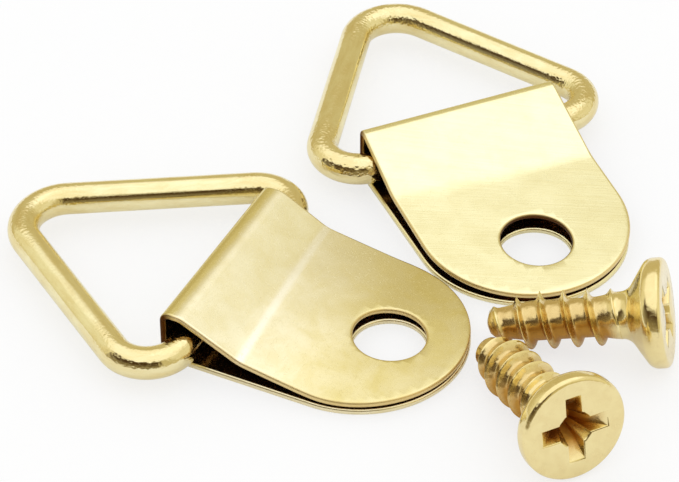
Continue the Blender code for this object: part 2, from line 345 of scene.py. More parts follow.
def make_scratches():
    """Sparse hair scratches in two directions from handling, as a share from 0 to 1."""
    tree, given, result = new_group(
        "scratches", [("Place", "NodeSocketVector"), ("Scratch", "NodeSocketVector")],
        [("Share", "NodeSocketFloat")])
    kinds = []
    for angle in SCRATCH_TURNS:
        turned = add_node(tree, "ShaderNodeVectorRotate", {"rotation_type": "EULER_XYZ"},
                          Vector=given["Place"], Rotation=(angle / 3, angle, angle))
        stretched = add_node(tree, "ShaderNodeVectorMath", {"operation": "DIVIDE"},
                             i0=turned.outputs[0], i1=given["Scratch"])
        noise = add_node(tree, "ShaderNodeTexNoise", Vector=stretched.outputs[0], Scale=1.0, Detail=1.0,
                         Roughness=0.4)
        kinds.append(add_node(tree, "ShaderNodeMapRange", {"interpolation_type": "SMOOTHSTEP"},
                              i0=noise.outputs[0], i1=SCRATCH_EDGE[0], i2=SCRATCH_EDGE[1]).outputs[0])
    both = add_node(tree, "ShaderNodeMath", {"operation": "MAXIMUM"}, i0=kinds[0], i1=kinds[1])
    tree.links.new(both.outputs[0], result["Share"])
    return tree


def make_brass_plate():
    """Brass plating: cloudy in colour and gloss, and deeper in colour by the Deep Share, which carries the
    plate's own deeper tone and painted shade.
    """
    tree, given, result = new_group(
        "brass_plate",
        [("Place", "NodeSocketVector"), ("Cloud Size", "NodeSocketFloat"), ("Cloud Share", "NodeSocketFloat"),
         ("Plate", "NodeSocketColor"), ("Deep Plate", "NodeSocketColor"), ("Deep Share", "NodeSocketFloat"),
         ("Scratches", "NodeSocketFloat"), ("Roughness", "NodeSocketFloat")],
        [("Colour", "NodeSocketColor"), ("Roughness", "NodeSocketFloat")])
    scale = add_node(tree, "ShaderNodeMath", {"operation": "DIVIDE"}, i0=1.0, i1=given["Cloud Size"])
    clouds = add_node(tree, "ShaderNodeTexNoise", Vector=given["Place"], Scale=scale.outputs[0], Detail=4.0,
                      Roughness=0.62, Distortion=0.4)
    cloudy = add_node(tree, "ShaderNodeMapRange", {"interpolation_type": "SMOOTHSTEP"},
                      i0=clouds.outputs[0], i1=CLOUD_EDGE[0], i2=CLOUD_EDGE[1])
    share = product(tree, cloudy.outputs[0], given["Cloud Share"])
    deep_tone_and_painted_shade = add_node(tree, "ShaderNodeMath", {"operation": "ADD", "use_clamp": True},
                    i0=share, i1=given["Deep Share"])
    colour = mixed(tree, deep_tone_and_painted_shade.outputs[0], given["Plate"], given["Deep Plate"])
    tree.links.new(colour, result["Colour"])
    dull = sum_of(tree, product(tree, cloudy.outputs[0], CLOUD_DULLNESS),
                  product(tree, given["Scratches"], SCRATCH_DULLNESS))
    tree.links.new(sum_of(tree, given["Roughness"], dull), result["Roughness"])
    return tree


tool_lines = make_tool_lines()
dents = make_dents()
scratches = make_scratches()
brass_plate = make_brass_plate()


def start_brass(name, start):
    """Start a metal material that reads the blank's own coordinates, from a starting place of its own."""
    material = bpy.data.materials.new(name)
    material.use_nodes = True
    tree = material.node_tree
    shader = tree.nodes["Principled BSDF"]
    shader.inputs["Metallic"].default_value = 1.0
    blank = add_node(tree, "ShaderNodeAttribute", {"attribute_name": "blank"})
    place = add_node(tree, "ShaderNodeVectorMath", {"operation": "ADD"}, i0=blank.outputs["Vector"], i1=start)
    return material, tree, shader, place.outputs[0]


def share_node(tree, name):
    return add_node(tree, "ShaderNodeAttribute", {"attribute_name": name}).outputs["Fac"]


def finish_brass(tree, shader, height, relief, colour, roughness):
    bump = add_node(tree, "ShaderNodeBump", Height=height, Distance=relief, Strength=1.0)
    tree.links.new(bump.outputs[0], shader.inputs["Normal"])
    tree.links.new(colour, shader.inputs["Base Color"])
    tree.links.new(roughness, shader.inputs["Roughness"])


def ring_brass(side, start):
    """Yellow plate on drawn wire: lines along the legs, and dents that crowd at the bends."""
    material, tree, shader, place = start_brass(side + "_ring_brass", start)
    bent = share_node(tree, "bent")
    lines = place_group(tree, tool_lines, Place=place, Line=DRAWN_LINE)["Height"]
    bumps = place_group(tree, dents, Place=place, Size=DENT_SIZE)["Height"]
    marks = place_group(tree, scratches, Place=place, Scratch=SCRATCH)["Share"]
    dent_share = between(tree, bent, LEG_DENT_SHARE[side], BEND_DENT_SHARE[side])
    height = sum_of(tree, product(tree, bumps, dent_share), product(tree, lines, DRAWN_LINE_DEPTH))
    height = sum_of(tree, height, product(tree, marks, RING_SCRATCH_DEPTH))
    drawn = add_node(tree, "ShaderNodeVectorMath", {"operation": "MULTIPLY"}, i0=place, i1=RING_CLOUD_STRETCH)
    plate = place_group(
        tree, brass_plate, Place=drawn.outputs[0], Cloud_Size=RING_CLOUD, Cloud_Share=RING_CLOUD_SHARE,
        Plate=RING_COLOUR, Deep_Plate=RING_DEEP_COLOUR, Deep_Share=product(tree, bent, RING_BEND_TINT),
        Scratches=marks, Roughness=RING_ROUGHNESS)
    finish_brass(tree, shader, height, RING_RELIEF, plate["Colour"], plate["Roughness"])
    return material


plain_ring = make_ring()
for side, start in (("left", (0, 0, 0)), ("right", (0.013, 0.007, 0.004))):
    ring = own_copy(plain_ring, side + "_wire_ring")
    settle(ring, hinge_place(side + "_ring_hinge"))
    ring.data.materials.append(ring_brass(side, start))
    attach(ring, side + "_ring")
    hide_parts(side + "_ring")
bpy.data.objects.remove(plain_ring)


# The two straps. Each is a blank stamped from 0.42 mm brass-plated sheet with round ends and two
# holes, brushed across, then folded round the ring's pin so that the holes line up for one screw.
# The fold is pressed to a sharp front wall, and the leaves spring apart a little.
SHEET = 0.42 * MM
WIRE_GAP_BELOW = 0.25 * MM
WIRE_GAP_ABOVE = 0.61 * MM
WIRE_GAP_IN_FRONT = 0.4 * MM
STRAP_WIDTH = 13.5 * MM
STRAP_REACH = 14.83 * MM
HOLE_RADIUS = 2.225 * MM
HOLE_TO_TIP = 4.7 * MM
LOOP_TOP_END = {"left": -0.45 * MM, "right": -1.1 * MM}
CREASE_FROM_HINGE = 3.6 * MM
CREASE_SHIFT = {"left": (-0.2 * MM, -0.95 * MM), "right": (-0.35 * MM, 0.7 * MM)}
CREASE_STEP = 0.18 * MM
CLOSING_FROM_HINGE = 8.2 * MM
FOLD_BENDS = {
    "left": (0.9 * MM, 0.5 * MM, 1.0 * MM, 2.6 * MM, 20.0 * MM),
    "right": (0.9 * MM, 0.25 * MM, 0.3 * MM, 4.0 * MM, 20.0 * MM)}
LEAF_GAPS = {"left": (1.0 * MM, 0.3 * MM, 0.08 * MM), "right": (1.15 * MM, 0.74 * MM, 0.2 * MM)}
RING_SLIP = {"left": -0.35 * MM, "right": 0.12 * MM}
RING_SKEW = radians(-1.4)
RIM_ROUND = 0.18 * MM
CROWN = {"left": 0.28 * MM, "right": 0.03 * MM}
CROWN_DROP_SHARE = 0.4
CROWN_END_DROP = 0.5
CROWN_CUTS = 14
ROUND_END_POINTS = 64
HOLE_POINTS = 72
BLANK_WELD = 0.002 * MM
CUT_NEARNESS = 0.0005 * MM
STRAP_COLOUR = {"left": (0.94, 0.88, 0.65, 1.0), "right": (0.97, 0.93, 0.62, 1.0)}
STRAP_DEEP_AND_SHADE_COLOUR = (0.78, 0.67, 0.3, 1.0)
STRAP_INSIDE_SHADE_COLOUR = (0.42, 0.23, 0.09, 1.0)
STRAP_WALL_SHADE_COLOUR = (0.1, 0.033, 0.004, 1.0)
STRAP_RIM_SHADE_COLOUR = (0.78, 0.58, 0.25, 1.0)
# Painted highlight: a pale band along the left strap's crease.
STRAP_CREASE_HIGHLIGHT_COLOUR = (0.99, 0.95, 0.8, 1.0)
STRAP_ROUGHNESS = {"left": 0.2, "right": 0.17}
# Painted shade: the outer part of the upper leaf, towards its tip, is painted deeper, most on the left strap.
END_SHADE = {"left": 0.65, "right": 0.1}
END_SHADE_REACH = (0.66, 0.88)
# Painted shade: a deeper band over the fold round the pin, strongest on the left strap.
BEND_SHADE = {"left": 1.0, "right": 0.3}
BEND_FADE = 0.5 * MM
BEND_FADE_CUTS = 3
BEND_PEEL = 1.2
CREASE_HIGHLIGHT_SHARE = {"left": 0.85, "right": 0.0}
CREASE_HIGHLIGHT_REACH = (0.1 * MM, 0.42 * MM)
SCORE_STEP = 0.6 * MM
BEND_DENT = 0.2 * MM
RIM_START = 0.8
# Painted shade on the rims, much darker on the upper leaf than on the lower one. The rims' dullness is real.
UPPER_RIM_SHADE = 0.75
LOWER_RIM_SHADE = 0.2
# Painted shade: the inner faces of the fold, and the lower part of the upper leaf's rims, are painted dark.
INSIDE_SHADE = 0.9
INSIDE_SHADE_START = 0.98
UPPER_INSIDE_SHADE_EDGE = (0.3, 0.9)
# Painted shade, near black: the rims round the loop, and on the right strap the lower part of the upper
# hole's wall.
WALL_SHADE_REACH = (1.2 * MM, 2.0 * MM)
HOLE_SHADE_EDGE = (-0.9, -0.3)
HOLE_SHADE = {"left": 0.0, "right": 1.0}
RIM_DULLNESS = 0.3
BRUSH_TURN = {"left": 0.0, "right": radians(25)}
BRUSH_LINE = (0.09 * MM, 0.09 * MM, 3.5 * MM)
BRUSH_SHARE = {"left": 0.15, "right": 0.7}
BRUSH_RELIEF = 0.004 * MM
BRUSH_TINT = (-0.15, 0.5)
SHEET_WAVE = 2.4 * MM
SHEET_WAVE_DEPTH = 6.0
STRAP_SCRATCH_DEPTH = -0.2
STRAP_CLOUD = 2.0 * MM
STRAP_CLOUD_SHARE = {"left": 0.35, "right": 0.15}


def fold_corners(side, shift):
    """Return the corners of the folded sheet's middle line, from the lower tip to the upper.

    The crease is moved by the shift, in the plane of the upper leaf.
    """
    half = SHEET / 2
    front = -(WIRE_RADIUS + WIRE_GAP_IN_FRONT + half)
    top = SHEET + WIRE_GAP_BELOW + 2 * WIRE_RADIUS + WIRE_GAP_ABOVE + half
    crease, closing, tip = [SHEET + gap + half for gap in LEAF_GAPS[side]]
    crease -= shift * (crease - closing) / (CLOSING_FROM_HINGE - CREASE_FROM_HINGE)
    return [
        (STRAP_REACH, half), (front, half), (front, top), (LOOP_TOP_END[side], top),
        (CREASE_FROM_HINGE + shift, crease), (CLOSING_FROM_HINGE, closing), (STRAP_REACH, tip)]


def add_outline(curve, points):
    spline = curve.splines.new("POLY")
    spline.points.add(len(points) - 1)
    for target, point in zip(spline.points, points):
        target.co = (*point, 0, 1)
    spline.use_cyclic_u = True


def arc(centre, radius, start, turn, count):
    """Return points on an arc, from the start angle through the turn."""
    angles = [start + turn * step / count for step in range(count + 1)]
    return [(centre + radius * cos(angle), radius * sin(angle)) for angle in angles]


def stamp_blank(name, length):
    """Stamp the flat strap along X, with its rims slightly rounded by the tool."""
    curve = bpy.data.curves.new(name, "CURVE")
    curve.dimensions = "2D"
    curve.fill_mode = "BOTH"
    curve.extrude = SHEET / 2 - RIM_ROUND
    curve.bevel_depth = RIM_ROUND
    curve.bevel_resolution = 3
    curve.offset = -RIM_ROUND
    end = STRAP_WIDTH / 2
    outline = arc(end, end, pi / 2, pi, ROUND_END_POINTS)
    outline += arc(length - end, end, -pi / 2, pi, ROUND_END_POINTS)
    add_outline(curve, outline)
    for centre in (HOLE_TO_TIP, length - HOLE_TO_TIP):
        add_outline(curve, arc(centre, HOLE_RADIUS, 0, -2 * pi, HOLE_POINTS)[:-1])
    blank = bpy.data.objects.new(name, curve)
    bpy.context.scene.collection.objects.link(blank)
    select_only(blank)
    bpy.ops.object.convert(target="MESH")
    blank = bpy.context.object
    bpy.ops.object.mode_set(mode="EDIT")
    bpy.ops.mesh.select_all(action="SELECT")
    bpy.ops.mesh.remove_doubles(threshold=BLANK_WELD)
    bpy.ops.mesh.normals_make_consistent(inside=False)
    bpy.ops.object.mode_set(mode="OBJECT")
    settle(blank, Matrix.Rotation(pi / 2, 4, "X"))
    return blank


def score(piece, stations, direction):
    """Cut rows of edges across a flat piece, at stations along one direction."""
    select_only(piece)
    bpy.ops.object.mode_set(mode="EDIT")
    for station in stations:
        bpy.ops.mesh.select_all(action="SELECT")
        bpy.ops.mesh.bisect(
            plane_co=Vector(direction) * station, plane_no=direction, threshold=CUT_NEARNESS)
    bpy.ops.object.mode_set(mode="OBJECT")


def strap_place(side):
    """Return the strap's frame: below the pin, X towards the strap's rounded end."""
    hinge = hinge_place(side + "_ring_hinge")
    lift = SHEET + WIRE_GAP_BELOW + WIRE_RADIUS
    return hinge @ Matrix.Rotation(-RING_SKEW, 4, "Z") @ Matrix.Translation((0, -RING_SLIP[side], -lift))


def is_upper_hole_rim(point, length):
    """Tell whether a point of the flat blank is on the rim of the upper leaf's hole."""
    from_middle = Vector((point.x, point.z)) - Vector((length - HOLE_TO_TIP, 0))
    return from_middle.length < HOLE_RADIUS + RIM_ROUND / 2


def far_share(point):
    """Return 0 at the blank's near side, 1 at its far side."""
    return 0.5 - point.z / STRAP_WIDTH


def rim_share(point):
    """Return 1 on the flat blank's rims, 0 on its two faces."""
    face = SHEET / 2
    return 1 - ease(RIM_START * face, face, abs(point.y))


def score_blank(blank, line, length, spans, far_crease):
    """Score the blank where its line bends, over the crease, at even steps, and along its length."""
    front_bend, top_end, near_crease = spans[1], spans[2][1], spans[3]
    stations, reached = [], 0.0
    for before, after in zip(line, line[1:]):
        reached += (after - before).length
        if reached < top_end + CUT_NEARNESS:
            stations.append(reached)
    first, last = min(near_crease[0], far_crease[0]), max(near_crease[1], far_crease[1])
    stations += [first + CREASE_STEP * step for step in range(round((last - first) / CREASE_STEP) + 1)]
    stations += [length - SCORE_STEP * step for step in range(1, int((length - top_end) / SCORE_STEP))]
    fade = [BEND_FADE * step / BEND_FADE_CUTS for step in range(1, BEND_FADE_CUTS + 1)]
    stations += [front_bend[0] - step for step in fade]
    stations += [front_bend[1] + step for step in fade]
    score(blank, stations, (1, 0, 0))
    score(blank, [STRAP_WIDTH * (step / CROWN_CUTS - 0.5) for step in range(1, CROWN_CUTS)], (0, 0, 1))


def keep_bend_and_painted_light(blank, side, length, front_bend, near_crease, far_crease):
    """Keep where the flat blank bends, and where it gets a painted highlight or painted shade, before it is
    bent.
    """
    middle = length / 2
    face = SHEET / 2
    keep_share(blank, "bent", lambda point: (
        1 - ease(0, BEND_FADE, max(front_bend[0] - point.x, point.x - front_bend[1]))))
    # Painted highlight along the crease, on the left strap only.
    keep_share(blank, "crease_highlight", lambda point: CREASE_HIGHLIGHT_SHARE[side] * (1 - ease(*CREASE_HIGHLIGHT_REACH, abs(
        point.x - (sum(near_crease) + (sum(far_crease) - sum(near_crease)) * far_share(point)) / 2))))
    # Painted shade towards the upper leaf's tip.
    keep_share(blank, "end", lambda point: END_SHADE[side] * ease(*END_SHADE_REACH, point.x / length))
    # Painted shade on the rims, stronger on the upper leaf. The same share makes the rims duller.
    keep_share(blank, "rim_shade_and_dullness", lambda point: (
        (UPPER_RIM_SHADE if point.x > middle else LOWER_RIM_SHADE) * rim_share(point)))
    # Painted shade on the rims round the loop and, on the right strap, in the upper hole's wall.
    keep_share(blank, "painted_wall_shade", lambda point: max(
        rim_share(point) * (1 - ease(*WALL_SHADE_REACH, abs(point.x - middle))),
        HOLE_SHADE[side] * ease(*[share * face for share in HOLE_SHADE_EDGE], -point.y)
        if is_upper_hole_rim(point, length) else 0.0))
    # Painted shade on the inner faces, in the gap between the leaves.
    keep_share(blank, "dark", lambda point: INSIDE_SHADE * max(
        ease(*[share * face for share in UPPER_INSIDE_SHADE_EDGE], -point.y) if point.x > middle else 0.0,
        ease(INSIDE_SHADE_START * face, face, -point.y)))


def make_strap(side):
    """Stamp and fold one strap.

    It is folded along two lines whose creases lie apart, and its near and far sides are blended across
    its width, so that the crease runs askew.
    """
    near_corners, far_corners = [fold_corners(side, shift) for shift in CREASE_SHIFT[side]]
    near_line, far_line = [rounded(corners, FOLD_BENDS[side]) for corners in (near_corners, far_corners)]
    length = line_length(near_line)
    strap = stamp_blank(side + "_folded_strap", length)
    spans = bend_spans(near_corners, FOLD_BENDS[side])
    far_crease = bend_spans(far_corners, FOLD_BENDS[side])[3]
    score_blank(strap, near_line, length, spans, far_crease)
    keep_blank(strap)
    keep_bend_and_painted_light(strap, side, length, spans[1], spans[3], far_crease)
    askew = own_copy(strap, side + "_strap_askew")
    bend_along(strap, near_line)
    bend_along(askew, far_line)
    blank = strap.data.attributes["blank"].data
    loop_end = length / 2 + WIRE_RADIUS
    hole = length - HOLE_TO_TIP
    for kept, vertex, other in zip(blank, strap.data.vertices, askew.data.vertices):
        vertex.co = vertex.co.lerp(other.co, far_share(kept.vector))
        share = ease(loop_end, hole - HOLE_RADIUS, kept.vector.x)
        share *= 1 - CROWN_END_DROP * ease(hole, length, kept.vector.x)
        across = 2 * kept.vector.z / STRAP_WIDTH
        vertex.co.y += CROWN[side] * share * (1 - CROWN_DROP_SHARE - across * across)
    bpy.data.objects.remove(askew)
    settle(strap, strap_place(side) @ Matrix.Rotation(pi / 2, 4, "X"))
    bpy.ops.object.mode_set(mode="EDIT")
    bpy.ops.mesh.select_all(action="SELECT")
    bpy.ops.mesh.normals_make_consistent(inside=False)
    bpy.ops.object.mode_set(mode="OBJECT")
    bpy.ops.object.shade_smooth()
    even = strap.modifiers.new("even", "WEIGHTED_NORMAL")
    even.keep_sharp = False
    apply_modifiers(strap)
    return strap


def strap_brass(side, start):
    """Pale plate on sheet: brushed across, a little wavy from stamping and dull on the rims, with painted
    shade on the rims, inner faces, walls, fold and tip end, and a painted highlight on the left strap's
    crease.
    """
    material, tree, shader, place = start_brass(side + "_strap_brass", start)
    # These shares carry painted shade: towards the upper leaf's tip, on the inner faces and on the rims.
    end = share_node(tree, "end")
    dark = share_node(tree, "dark")
    rim_shade_and_dullness = share_node(tree, "rim_shade_and_dullness")
    turned = add_node(tree, "ShaderNodeVectorRotate", {"rotation_type": "Y_AXIS"}, Vector=place,
                      Angle=BRUSH_TURN[side])
    lines = place_group(tree, tool_lines, Place=turned.outputs[0], Line=BRUSH_LINE)["Height"]
    waves = place_group(tree, dents, Place=place, Size=SHEET_WAVE)["Height"]
    marks = place_group(tree, scratches, Place=place, Scratch=SCRATCH)["Share"]
    height = sum_of(tree, product(tree, lines, BRUSH_SHARE[side]), product(tree, waves, SHEET_WAVE_DEPTH))
    height = sum_of(tree, height, product(tree, marks, STRAP_SCRATCH_DEPTH))
    bent = share_node(tree, "bent")
    peel = place_group(tree, dents, Place=place, Size=BEND_DENT)["Height"]
    height = sum_of(tree, height, product(tree, peel, product(tree, bent, BEND_PEEL)))
    streaks = product(tree, between(tree, lines, *BRUSH_TINT), BRUSH_SHARE[side])
    # Painted shade over the fold is added to the painted shade towards the tip.
    end = sum_of(tree, end, product(tree, bent, BEND_SHADE[side]))
    plate = place_group(
        tree, brass_plate, Place=place, Cloud_Size=STRAP_CLOUD, Cloud_Share=STRAP_CLOUD_SHARE[side],
        Plate=STRAP_COLOUR[side], Deep_Plate=STRAP_DEEP_AND_SHADE_COLOUR, Deep_Share=sum_of(tree, streaks, end),
        Scratches=marks, Roughness=STRAP_ROUGHNESS[side])
    # Painted highlight on the crease.
    colour = mixed(tree, share_node(tree, "crease_highlight"), plate["Colour"], STRAP_CREASE_HIGHLIGHT_COLOUR)
    # Painted shade on the rims, and on the inner faces across the gap between the leaves.
    colour = mixed(tree, dark, mixed(tree, rim_shade_and_dullness, colour, STRAP_RIM_SHADE_COLOUR), STRAP_INSIDE_SHADE_COLOUR)
    # Painted shade, near black, on the rims round the loop and in the upper hole's wall.
    colour = mixed(tree, share_node(tree, "painted_wall_shade"), colour, STRAP_WALL_SHADE_COLOUR)
    roughness = sum_of(tree, plate["Roughness"], product(tree, rim_shade_and_dullness, RIM_DULLNESS))
    finish_brass(tree, shader, height, BRUSH_RELIEF, colour, roughness)
    return material


for side, start in (("left", (0, 0, 0)), ("right", (0.031, 0.002, 0.017))):
    strap = make_strap(side)
    strap.data.materials.append(strap_brass(side, start))
    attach(strap, side + "_strap")
    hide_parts(side + "_strap")


# The two screws. Each is headed, its cross recess punched and its coarse thread rolled from steel wire,
# and then brass-plated. It goes through the strap's holes into the frame. Both are one model, turned
# differently about their own axes, and each rests on its head's rim and the last of its thread.
HEAD_RADIUS = 3.3 * MM
HEAD_RIM = 1.05 * MM
HEAD_DEPTH = 2.3 * MM
HEAD_EDGE_ROUND = 0.3 * MM
HEAD_UNDER_ROUND = 0.35 * MM
NECK_ROUND = 0.45 * MM
SHANK_RADIUS = 1.42 * MM
NECK_END = 2.75 * MM
ROOT_RADIUS = 1.2 * MM
CREST_RADIUS = 1.75 * MM
PITCH = 1.43 * MM
CREST_DEPTH = 1.3 * MM
THREAD_GROWS = (2.5 * MM, 3.8 * MM)
ROOT_SETTLES = (2.75 * MM, 4.4 * MM)
TAPER_START = 8.2 * MM
TAPER_END = 10.45 * MM
SCREW_LENGTH = 10.85 * MM
TIP_ROOT_RADIUS = 0.85 * MM
TIP_CREST_RADIUS = 1.0 * MM
TURN_STEPS = 72
HEAD_SIDES = 96
RIDGE_SHARES = (
    (0.0, 0.0), (0.13, 0.0), (0.22, 0.0), (0.28, 0.03), (0.34, 0.15), (0.4, 0.42), (0.45, 0.75),
    (0.48, 0.95), (0.5, 1.0), (0.52, 0.95), (0.55, 0.75), (0.6, 0.42), (0.66, 0.15), (0.72, 0.03),
    (0.78, 0.0), (0.87, 0.0), (1.0, 0.0))
RECESS_FACE = (4.3 * MM, 1.0 * MM)
RECESS_STEPS = (
    # depth, span from end to end, and width of each bar of the punch
    (0.95 * MM, 2.3 * MM, 0.74 * MM),
    (1.9 * MM, 1.2 * MM, 0.5 * MM))
RECESS_MIDDLE_RADIUS = 1.12 * MM
RECESS_MIDDLE_FLOOR_RADIUS = 0.5 * MM
RECESS_ROUND = 0.08 * MM
# Painted shade in the recess: deeper orange towards its floor, fading out towards the face's edge.
RECESS_SHADE_FADE = (1.2 * MM, 1.7 * MM)
RECESS_SHADE_START = (0.05 * MM, 0.5 * MM)
RECESS_SHADE_END = 1.95 * MM
CUT_OVERRUN = 0.3 * MM
MIDDLE_OVERRUN = 0.01 * MM
FACE_MARGIN = 0.05 * MM
THREAD_WELD = 0.005 * MM
EDGE_NEARNESS = 0.01 * MM
LEVEL_NEARNESS = 0.001 * MM
FACES_DOWN = -0.9
POINT_STEPS = (
    # share of the point's length, and how far the thread's end is narrowed over it
    (0.6, 0.75),
    (0.4, 0.4))
SCREW_COLOUR = (0.87, 0.74, 0.38, 1.0)
SCREW_DEEP_AND_SHADE_COLOUR = (0.5, 0.26, 0.05, 1.0)
# Painted shade in the thread's roots.
ROOT_SHADE = 0.35
ROOT_SHADE_EDGE = (0.1, 0.8)
# Painted shade on the thread's side that faces down and to the front, where the screw lies.
UNDER_SHADE = 0.95
UNDER_SIDE = (0.0, -0.6, -0.8)
UNDER_EDGE = (-0.15, 0.75)
DEEP_DULLNESS = 0.2
SCREW_ROUGHNESS = 0.13
SCREW_RELIEF = 0.02 * MM
SCREW_SCRATCH_DEPTH = -0.05
SCREW_CLOUD = 0.9 * MM
SCREW_CLOUD_SHARE = 0.12
THREAD_RELIEF_SHARE = 2.5
SCREW_DENT = 0.4 * MM
SCREWS = {
    "front_screw": {"head": (13.571 * MM, -21.021 * MM, 3.412 * MM), "heading": 116.0, "turn": 0.0},
    "rear_screw": {"head": (19.626 * MM, -10.906 * MM, 3.412 * MM), "heading": 171.5, "turn": 198.0},
}
SCREW_DIP = radians(11.967)


def select_faces(piece, wanted):
    """Leave selected only the faces that the wanted test keeps, and stay in edit mode."""
    bpy.ops.object.mode_set(mode="EDIT")
    bpy.ops.mesh.select_mode(type="FACE")
    bpy.ops.mesh.select_all(action="DESELECT")
    bpy.ops.object.mode_set(mode="OBJECT")
    for face in piece.data.polygons:
        face.select = wanted(face)
    bpy.ops.object.mode_set(mode="EDIT")


def ring_edge_at(radius, height):
    """Return a test for the edges of a turned piece at one radius and height."""
    def wanted(first, second):
        return all(
            abs(point.xy.length - radius) < EDGE_NEARNESS and abs(point.z - height) < EDGE_NEARNESS
            for point in (first, second))
    return wanted


def make_head(name):
    """Turn the head from a disc: a cone below it, then the start of the shank, and soft edges."""
    bpy.ops.object.select_all(action="DESELECT")
    bpy.ops.mesh.primitive_cylinder_add(
        vertices=HEAD_SIDES, radius=HEAD_RADIUS, depth=HEAD_RIM, location=(0, 0, -HEAD_RIM / 2))
    head = bpy.context.object
    head.name = name
    settle(head, head.matrix_world.copy())
    select_faces(head, lambda face: face.normal.z < FACES_DOWN)
    bpy.ops.mesh.extrude_region_move(TRANSFORM_OT_translate={"value": (0, 0, HEAD_RIM - HEAD_DEPTH)})
    bpy.ops.transform.resize(value=(SHANK_RADIUS / HEAD_RADIUS,) * 2 + (1,))
    bpy.ops.mesh.extrude_region_move(TRANSFORM_OT_translate={"value": (0, 0, HEAD_DEPTH - NECK_END)})
    bpy.ops.mesh.delete(type="ONLY_FACE")
    for radius, height, offset, count in (
            (HEAD_RADIUS, 0, HEAD_EDGE_ROUND, 6),
            (HEAD_RADIUS, -HEAD_RIM, HEAD_UNDER_ROUND, 4),
            (SHANK_RADIUS, -HEAD_DEPTH, NECK_ROUND, 5)):
        select_edges(head, ring_edge_at(radius, height))
        bpy.ops.mesh.bevel(offset=offset, segments=count, profile=0.5, affect="EDGES")
    bpy.ops.object.mode_set(mode="OBJECT")
    return head


def recess_bar(turn):
    """Make one bar of the cross punch: sloping ends, a short ledge in each wing, and a deep middle."""
    depth, span, wing = RECESS_STEPS[0]
    rise = 1 + CUT_OVERRUN / depth
    top_span = span + (RECESS_FACE[0] - span) * rise
    top_wing = wing + (RECESS_FACE[1] - wing) * rise
    bpy.ops.object.select_all(action="DESELECT")
    bpy.ops.mesh.primitive_cube_add(size=1.0)
    bar = bpy.context.object
    bar.scale = (top_span, top_wing, CUT_OVERRUN + depth)
    bar.location = (0, 0, (CUT_OVERRUN - depth) / 2)
    settle(bar, bar.matrix_basis.copy())
    select_faces(bar, lambda face: face.normal.z < FACES_DOWN)
    bpy.ops.transform.resize(value=(span / top_span, wing / top_wing, 1))
    for (depth, span, wing), (low, low_span, low_wing) in zip(RECESS_STEPS, RECESS_STEPS[1:]):
        bpy.ops.mesh.extrude_region_move(TRANSFORM_OT_translate={"value": (0, 0, depth - low)})
        bpy.ops.transform.resize(value=(low_span / span, low_wing / wing, 1))
    bpy.ops.object.mode_set(mode="OBJECT")
    settle(bar, Matrix.Rotation(turn, 4, "Z"))
    return bar


def punch_recess(head):
    """Punch the cross recess and soften its upper edge."""
    deepest = RECESS_STEPS[-1][0]
    height = deepest + CUT_OVERRUN
    widen = (RECESS_MIDDLE_RADIUS - RECESS_MIDDLE_FLOOR_RADIUS) * height / deepest
    bpy.ops.object.select_all(action="DESELECT")
    bpy.ops.mesh.primitive_cone_add(
        vertices=16, radius1=RECESS_MIDDLE_FLOOR_RADIUS, radius2=RECESS_MIDDLE_FLOOR_RADIUS + widen,
        depth=height, location=(0, 0, height / 2 - deepest - MIDDLE_OVERRUN), rotation=(0, 0, pi / 16))
    punches = [bpy.context.object, recess_bar(0), recess_bar(pi / 2)]
    for punch in punches:
        cut = head.modifiers.new(punch.name, "BOOLEAN")
        cut.object = punch
        cut.solver = "EXACT"
    apply_modifiers(head)
    for punch in punches:
        bpy.data.objects.remove(punch)
    flat = HEAD_RADIUS - HEAD_EDGE_ROUND - FACE_MARGIN
    select_edges(head, lambda first, second: all(
        abs(point.z) < LEVEL_NEARNESS and point.xy.length < flat for point in (first, second)))
    bpy.ops.mesh.bevel(offset=RECESS_ROUND, segments=3, profile=0.5, affect="EDGES")
    bpy.ops.object.mode_set(mode="OBJECT")


def thread_height(point):
    """Return how far up the ridge a point of the wound thread is, before it is fitted, from 0 to 1."""
    return (point.xy.length - ROOT_RADIUS) / (CREST_RADIUS - ROOT_RADIUS)


